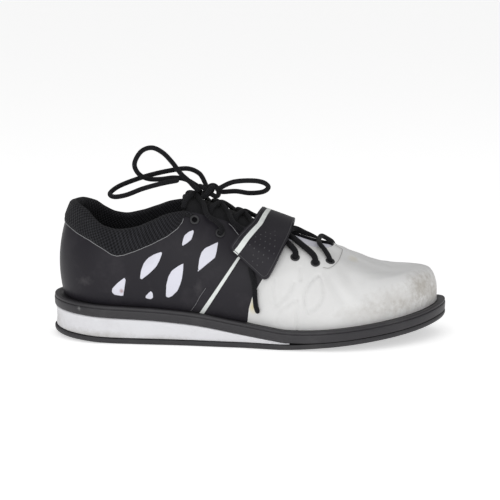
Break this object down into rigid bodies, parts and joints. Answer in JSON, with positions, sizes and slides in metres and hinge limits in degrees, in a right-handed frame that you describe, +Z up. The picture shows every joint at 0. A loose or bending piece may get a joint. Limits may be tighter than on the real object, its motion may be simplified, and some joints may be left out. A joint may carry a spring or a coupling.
{
  "type": "weightlifting shoe",
  "caption": "Low right-foot weightlifting shoe with a raised hard heel wedge, hollow upper, padded collar, tongue, round laces and a broad instep strap.",
  "frame": {"origin": "on the floor, under the middle of the sole's length and width", "axes": "+X towards the toe, +Y towards the inner side of the foot, +Z up"},
  "size_m": [0.292, 0.1096, 0.1421],
  "materials": {
    "black_rubber": "matte black rubber",
    "pale_wedge": "satin, pale lavender grey",
    "black_band": "satin black rubber",
    "black_synthetic": "smooth matte synthetic, black at the rear and white at the front",
    "black_lining": "fine black textile",
    "black_textile": "padded black textile",
    "strap_synthetic": "matte black synthetic",
    "black_lace": "round braided lace"
  },
  "bodies": {
    "root": {"outsole": "black_rubber", "heel_wedge": "pale_wedge", "midsole": "black_band", "upper": "black_synthetic", "insole": "black_lining", "tongue": "black_textile", "strap": "strap_synthetic", "lace_bar": "black_lace", "lace_cross_1": "black_lace", "lace_cross_2": "black_lace", "lace_cross_3": "black_lace", "lace_cross_4": "black_lace", "lace_cross_5": "black_lace", "lace_knot": "black_lace", "lace_loop_back": "black_lace", "lace_loop_front": "black_lace", "lace_end_back": "black_lace", "lace_end_front": "black_lace"}
  },
  "joints": []
}
